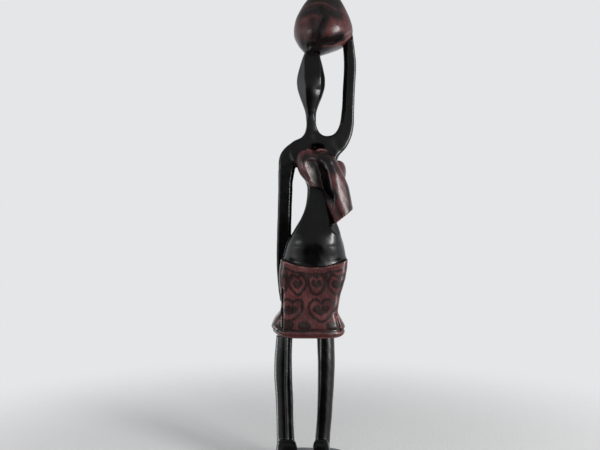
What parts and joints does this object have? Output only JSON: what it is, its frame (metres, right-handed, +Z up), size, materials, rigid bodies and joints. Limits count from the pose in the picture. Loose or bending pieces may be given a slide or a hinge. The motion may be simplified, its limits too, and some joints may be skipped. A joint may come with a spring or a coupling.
{
  "type": "carved standing figure",
  "caption": "Slim carved hardwood woman in a wrapped skirt and shawl, one hand raised to steady a gourd on her head, standing on a small plinth.",
  "frame": {"origin": "centre of the plinth's underside", "axes": "+Z up along the figure, she faces -Y, her own right side is towards -X"},
  "size_m": [0.0712, 0.056, 0.41],
  "materials": {
    "ebonised_wood": "polished",
    "stained_wood": "polished red-brown stain with black line drawing",
    "peg_wood": "plain turned"
  },
  "bodies": {
    "root": {"plinth": "ebonised_wood", "right_leg": "ebonised_wood", "left_leg": "ebonised_wood", "skirt": "stained_wood", "body": "ebonised_wood", "shawl": "stained_wood", "head_gourd": "stained_wood", "foot_pegs": "peg_wood", "leg_pegs": "peg_wood", "waist_peg": "peg_wood", "shawl_pegs": "peg_wood", "crown_peg": "peg_wood", "hand_peg": "peg_wood"}
  },
  "joints": []
}
